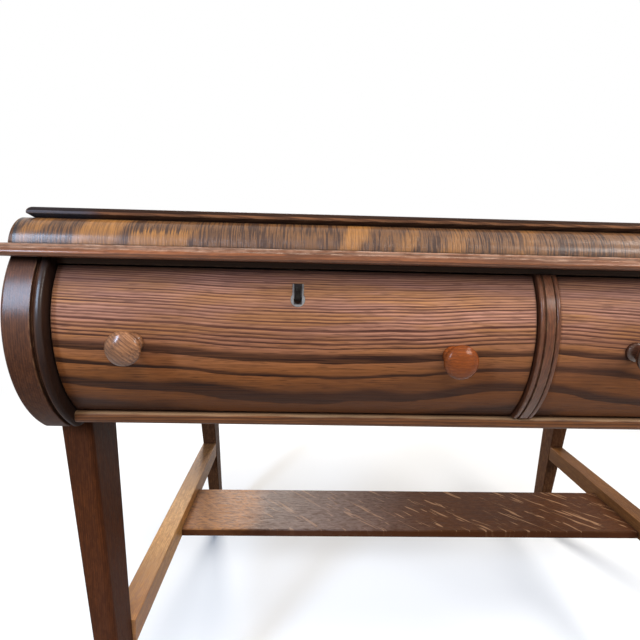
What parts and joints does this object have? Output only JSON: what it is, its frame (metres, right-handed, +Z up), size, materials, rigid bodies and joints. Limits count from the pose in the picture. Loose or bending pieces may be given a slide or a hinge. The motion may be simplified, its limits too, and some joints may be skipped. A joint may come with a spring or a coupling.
{
  "type": "writing desk",
  "caption": "Oak writing desk with swelled drawer fronts, turned knobs, curved corner posts, tapering legs that lean inwards and a low shelf between side stretchers.",
  "frame": {"origin": "on the floor under the middle of the whole desk", "axes": "+X along the front to the right, -Y towards the person at the drawers, +Z up"},
  "size_m": [0.98, 0.791, 0.762],
  "materials": {
    "top_oak": "worn dark varnish",
    "frieze_oak": "quarter-sawn, dark varnish",
    "moulding_oak": "worn dark varnish",
    "drawer_front_oak": "reddish-brown semi-gloss varnish",
    "knob_oak": "worn varnish",
    "case_oak": "dark semi-gloss varnish",
    "leg_oak": "dark semi-gloss varnish",
    "inner_wood": "bare",
    "liner_metal": "worn grey",
    "lock_iron": "dull",
    "screw_steel": "dull"
  },
  "bodies": {
    "desk": {"back_bottom_rail": "inner_wood", "back_frieze": "frieze_oak", "back_panel": "inner_wood", "back_top_rail": "inner_wood", "centre_kicker": "inner_wood", "centre_runner": "inner_wood", "drawer_stops": "inner_wood", "front_bead_moulding": "moulding_oak", "front_bottom_rail": "case_oak", "front_frieze": "frieze_oak", "front_top_rail": "case_oak", "glue_blocks": "inner_wood", "left_back_leg": "leg_oak", "left_bead_moulding": "moulding_oak", "left_end_panel": "case_oak", "left_front_leg": "leg_oak", "left_front_post": "case_oak", "left_guide": "inner_wood", "left_kicker": "inner_wood", "left_runner": "inner_wood", "left_side_frieze": "frieze_oak", "left_stretcher": "leg_oak", "muntin": "case_oak", "right_back_leg": "leg_oak", "right_bead_moulding": "moulding_oak", "right_end_panel": "case_oak", "right_front_leg": "leg_oak", "right_front_post": "case_oak", "right_guide": "inner_wood", "right_kicker": "inner_wood", "right_runner": "inner_wood", "right_side_frieze": "frieze_oak", "right_stretcher": "leg_oak", "stretcher_dowels": "inner_wood", "stretcher_shelf": "leg_oak", "top_board": "top_oak"},
    "left_drawer": {"left_drawer_back": "inner_wood", "left_drawer_bottom": "inner_wood", "left_drawer_front": "drawer_front_oak", "left_drawer_keyhole_liner": "liner_metal", "left_drawer_knob_screws": "screw_steel", "left_drawer_left_knob": "knob_oak", "left_drawer_left_side": "inner_wood", "left_drawer_lock_case": "lock_iron", "left_drawer_lock_screws": "lock_iron", "left_drawer_right_knob": "knob_oak", "left_drawer_right_side": "inner_wood"},
    "right_drawer": {"right_drawer_back": "inner_wood", "right_drawer_bottom": "inner_wood", "right_drawer_front": "drawer_front_oak", "right_drawer_keyhole_liner": "liner_metal", "right_drawer_knob_screws": "screw_steel", "right_drawer_left_knob": "knob_oak", "right_drawer_left_side": "inner_wood", "right_drawer_lock_case": "lock_iron", "right_drawer_lock_screws": "lock_iron", "right_drawer_right_knob": "knob_oak", "right_drawer_right_side": "inner_wood"},
    "left_lock_bolt": {"left_drawer_lock_bolt": "lock_iron"},
    "right_lock_bolt": {"right_drawer_lock_bolt": "lock_iron"}
  },
  "joints": [
    {"name": "left_drawer_slide", "type": "slide", "parent": "desk", "child": "left_drawer", "axis": [0, -1, 0], "range_m": [0, 0.4]},
    {"name": "right_drawer_slide", "type": "slide", "parent": "desk", "child": "right_drawer", "axis": [0, -1, 0], "range_m": [0, 0.4]},
    {"name": "left_lock_bolt_slide", "type": "slide", "parent": "left_drawer", "child": "left_lock_bolt", "axis": [0, 0, 1], "range_m": [0, 0.006]},
    {"name": "right_lock_bolt_slide", "type": "slide", "parent": "right_drawer", "child": "right_lock_bolt", "axis": [0, 0, 1], "range_m": [0, 0.006]}
  ]
}
